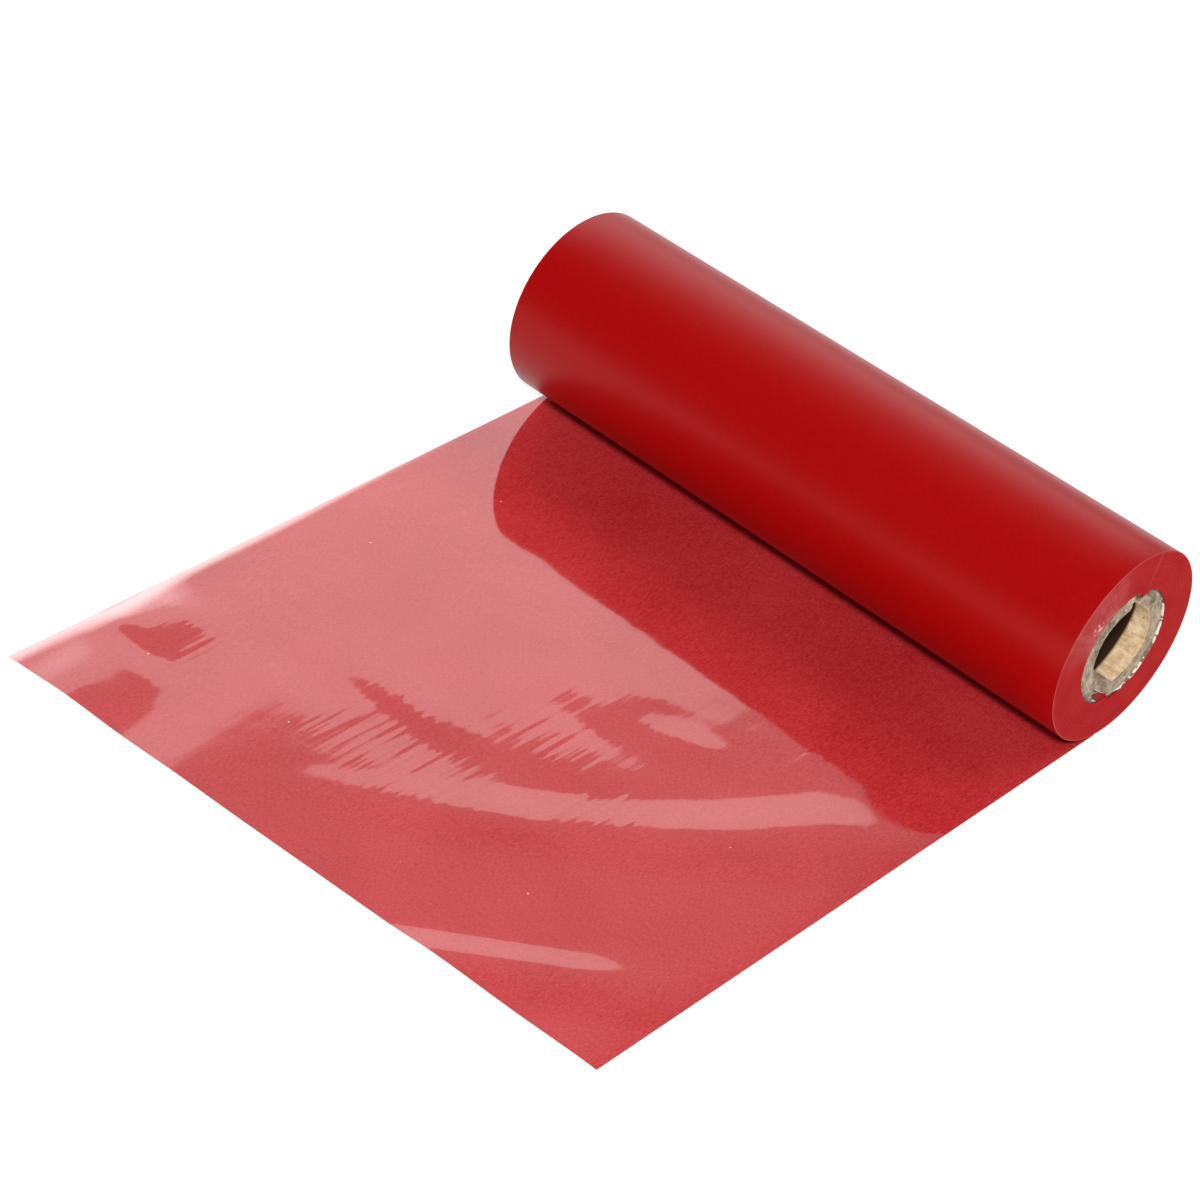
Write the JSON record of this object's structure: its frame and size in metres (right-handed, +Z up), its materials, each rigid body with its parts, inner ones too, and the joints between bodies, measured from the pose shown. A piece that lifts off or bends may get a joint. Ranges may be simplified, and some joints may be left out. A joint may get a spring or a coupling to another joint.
{
  "type": "thermal transfer ribbon roll",
  "caption": "Roll of red thermal-transfer ribbon film on a notched paper core, with a length of the film unrolled flat.",
  "frame": {"origin": "middle of the footprint, on the surface that the film lies on", "axes": "+X along the roll's axis towards the end that shows, the film unrolls towards -Y, +Z up"},
  "size_m": [0.11, 0.1286, 0.0314],
  "materials": {
    "film_back_side": "gloss",
    "film_ink_side": "satin",
    "film_wound_edge": "satin",
    "tape": "satin",
    "trailer": "gloss",
    "core_face": "matte",
    "core_board": "matte",
    "core_kraft": "matte"
  },
  "bodies": {
    "laid_film": {"unrolled_film": "film_back_side"},
    "roll": {"outer_turn": "film_ink_side", "wound_ribbon": "film_wound_edge", "splice_tape": "tape", "trailer_film": "trailer", "anchor_tape": "tape", "core_face_ply": "core_face", "core_board_ply_1": "core_board", "core_board_ply_2": "core_board", "core_board_ply_3": "core_board", "core_board_ply_4": "core_board", "core_liner_ply": "core_kraft"}
  },
  "joints": [
    {"name": "roll_spin", "type": "hinge", "parent": "laid_film", "child": "roll", "pos_m": [0, 0.04865, 0.01569], "axis": [1, 0, 0], "continuous": true}
  ]
}
